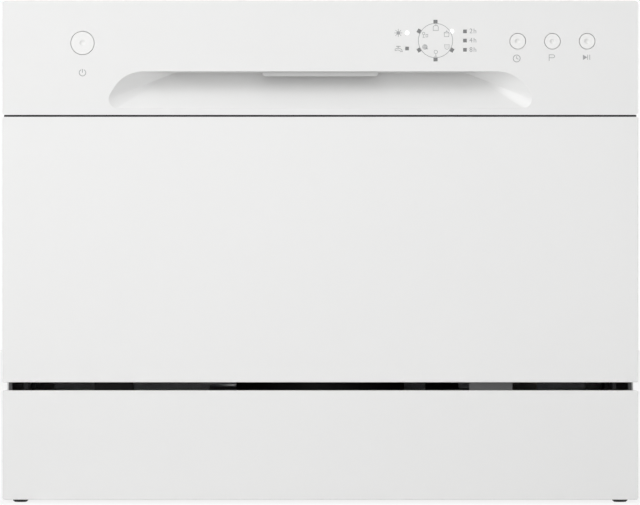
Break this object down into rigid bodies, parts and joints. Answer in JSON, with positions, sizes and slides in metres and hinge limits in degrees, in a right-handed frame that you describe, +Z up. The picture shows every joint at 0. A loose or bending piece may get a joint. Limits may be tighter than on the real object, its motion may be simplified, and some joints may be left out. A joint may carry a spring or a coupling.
{
  "type": "countertop dishwasher",
  "caption": "Compact front-loading dishwasher with a drop-down door, wire rack, spray arm, pumps and push-button control panel.",
  "frame": {"origin": "on the resting plane, at the middle of the overall width and depth", "axes": "+Z up, the door faces -Y, +X to the right of a person facing the door"},
  "size_m": [0.55, 0.5, 0.434],
  "materials": {
    "white_paint": "satin enamel",
    "white_plastic": "satin moulded",
    "stainless": "brushed",
    "zinc_steel": "zinc plated",
    "black_plastic": "matte",
    "grey_plastic": "satin",
    "lens": "smoked",
    "rubber": "matte",
    "grey_rubber": "matte",
    "coated_wire": "nylon coated",
    "board": "solder mask",
    "bitumen": "matte",
    "clear_nylon": "natural"
  },
  "bodies": {
    "cabinet": {"cabinet_wrap": "white_paint", "rear_panel": "zinc_steel", "base_tray": "black_plastic", "kick_plate": "white_paint", "front_feet": "rubber", "rear_feet": "rubber", "tub": "stainless", "tub_gasket": "grey_rubber", "front_frame": "zinc_steel", "hinge_brackets": "zinc_steel", "hinge_pins": "zinc_steel", "door_spring_left": "zinc_steel", "door_spring_right": "zinc_steel", "cable_clip": "zinc_steel", "strike_plate": "zinc_steel", "sump": "black_plastic", "heater": "stainless", "filter_plate": "stainless", "spray_hub": "grey_plastic", "wash_pump_housing": "black_plastic", "wash_pump_motor": "zinc_steel", "drain_pump": "black_plastic", "inlet_valve": "clear_nylon", "drain_outlet": "black_plastic", "cord_gland": "black_plastic", "water_breather": "clear_nylon", "hoses": "rubber", "float_switch": "black_plastic", "damping_mats": "bitumen", "cabinet_screws": "zinc_steel"},
    "door": {"door_outer_panel": "white_paint", "control_fascia": "white_plastic", "door_liner": "stainless", "hinge_arms": "zinc_steel", "dispenser_body": "grey_plastic", "latch_housing": "black_plastic", "latch_clip": "zinc_steel", "control_board": "board", "indicator_lenses": "lens", "lower_door_seal": "rubber", "door_screws": "zinc_steel"},
    "rack": {"rack_basket": "coated_wire"},
    "handle_lever": {"handle_lever": "white_plastic"},
    "power_button": {"power_button": "white_plastic"},
    "delay_button": {"delay_button": "white_plastic"},
    "program_button": {"program_button": "white_plastic"},
    "start_button": {"start_button": "white_plastic"},
    "dispenser_lid": {"dispenser_lid": "grey_plastic"},
    "dispenser_catch": {"dispenser_catch": "black_plastic"},
    "rinse_cap": {"rinse_cap": "black_plastic"},
    "front_wheels": {"front_wheels": "grey_plastic"},
    "rear_wheels": {"rear_wheels": "grey_plastic"},
    "cup_shelf_left": {"cup_shelf_left": "coated_wire"},
    "cup_shelf_right": {"cup_shelf_right": "coated_wire"},
    "cutlery_basket": {"cutlery_basket": "grey_plastic"},
    "spray_arm": {"spray_arm": "grey_plastic"},
    "fine_filter": {"fine_filter": "grey_plastic"},
    "overflow_float": {"overflow_float": "white_plastic"},
    "wash_impeller": {"wash_impeller": "grey_plastic"},
    "drain_impeller": {"drain_impeller": "grey_plastic"}
  },
  "joints": [
    {"name": "door_hinge", "type": "hinge", "parent": "cabinet", "child": "door", "pos_m": [0, -0.235, 0.117], "axis": [1, 0, 0], "range_deg": [0, 90], "deforming": ["door_spring_left", "door_spring_right", "latch_clip"]},
    {"name": "handle_lever_pull", "type": "hinge", "parent": "door", "child": "handle_lever", "pos_m": [0, -0.239, 0.382], "axis": [-1, 0, 0], "range_deg": [0, 12], "stiffness_Nm_per_rad": 0.6, "springref_deg": -5.73},
    {"name": "power_button_press", "type": "slide", "parent": "door", "child": "power_button", "axis": [0, 1, 0], "range_m": [0, 0.0015], "stiffness_N_per_m": 400, "springref_m": -0.0005},
    {"name": "delay_button_press", "type": "slide", "parent": "door", "child": "delay_button", "axis": [0, 1, 0], "range_m": [0, 0.0015], "stiffness_N_per_m": 400, "springref_m": -0.0005},
    {"name": "program_button_press", "type": "slide", "parent": "door", "child": "program_button", "axis": [0, 1, 0], "range_m": [0, 0.0015], "stiffness_N_per_m": 400, "springref_m": -0.0005},
    {"name": "start_button_press", "type": "slide", "parent": "door", "child": "start_button", "axis": [0, 1, 0], "range_m": [0, 0.0015], "stiffness_N_per_m": 400, "springref_m": -0.0005},
    {"name": "dispenser_lid_slide", "type": "slide", "parent": "door", "child": "dispenser_lid", "axis": [0, 0, 1], "range_m": [0, 0.038]},
    {"name": "dispenser_catch_press", "type": "slide", "parent": "door", "child": "dispenser_catch", "axis": [0, -1, 0], "range_m": [0, 0.002], "stiffness_N_per_m": 400, "springref_m": -0.0005},
    {"name": "rinse_cap_turn", "type": "hinge", "parent": "door", "child": "rinse_cap", "pos_m": [0.042, -0.213, 0.284], "axis": [0, 1, 0], "range_deg": [0, 90]},
    {"name": "rack_slide", "type": "slide", "parent": "cabinet", "child": "rack", "axis": [0, -1, 0], "range_m": [0, 0.0786]},
    {"name": "front_wheels_roll", "type": "hinge", "parent": "rack", "child": "front_wheels", "pos_m": [0, -0.163, 0.1488], "axis": [1, 0, 0], "range_deg": [0, 505]},
    {"name": "rear_wheels_roll", "type": "hinge", "parent": "rack", "child": "rear_wheels", "pos_m": [0, 0.097, 0.1488], "axis": [1, 0, 0], "range_deg": [0, 505]},
    {"name": "cup_shelf_left_fold", "type": "hinge", "parent": "rack", "child": "cup_shelf_left", "pos_m": [-0.19296, 0.01, 0.2525], "axis": [0, 1, 0], "range_deg": [0, 85]},
    {"name": "cup_shelf_right_fold", "type": "hinge", "parent": "rack", "child": "cup_shelf_right", "pos_m": [0.19296, 0.01, 0.2525], "axis": [0, -1, 0], "range_deg": [0, 85]},
    {"name": "cutlery_basket_lift", "type": "slide", "parent": "rack", "child": "cutlery_basket", "axis": [0, 0, 1], "range_m": [0, 0.095]},
    {"name": "spray_arm_spin", "type": "hinge", "parent": "cabinet", "child": "spray_arm", "pos_m": [0, -0.0187, 0.1535], "axis": [0, 0, 1], "continuous": true},
    {"name": "filter_twist", "type": "hinge", "parent": "cabinet", "child": "fine_filter", "pos_m": [0.044, -0.0187, 0.1395], "axis": [0, 0, 1], "range_deg": [0, 45]},
    {"name": "float_lift", "type": "slide", "parent": "cabinet", "child": "overflow_float", "axis": [0, 0, 1], "range_m": [0, 0.008]},
    {"name": "wash_impeller_spin", "type": "hinge", "parent": "cabinet", "child": "wash_impeller", "pos_m": [0, 0.1053, 0.06], "axis": [1, 0, 0], "continuous": true},
    {"name": "drain_impeller_spin", "type": "hinge", "parent": "cabinet", "child": "drain_impeller", "pos_m": [0.1, -0.0187, 0.075], "axis": [1, 0, 0], "continuous": true}
  ],
  "couplings": [
    {"joint": "rack_slide", "follows": "door_hinge", "m_per_rad": 0.05},
    {"joint": "front_wheels_roll", "follows": "door_hinge", "ratio": 5.5556},
    {"joint": "rear_wheels_roll", "follows": "door_hinge", "ratio": 5.5556}
  ]
}
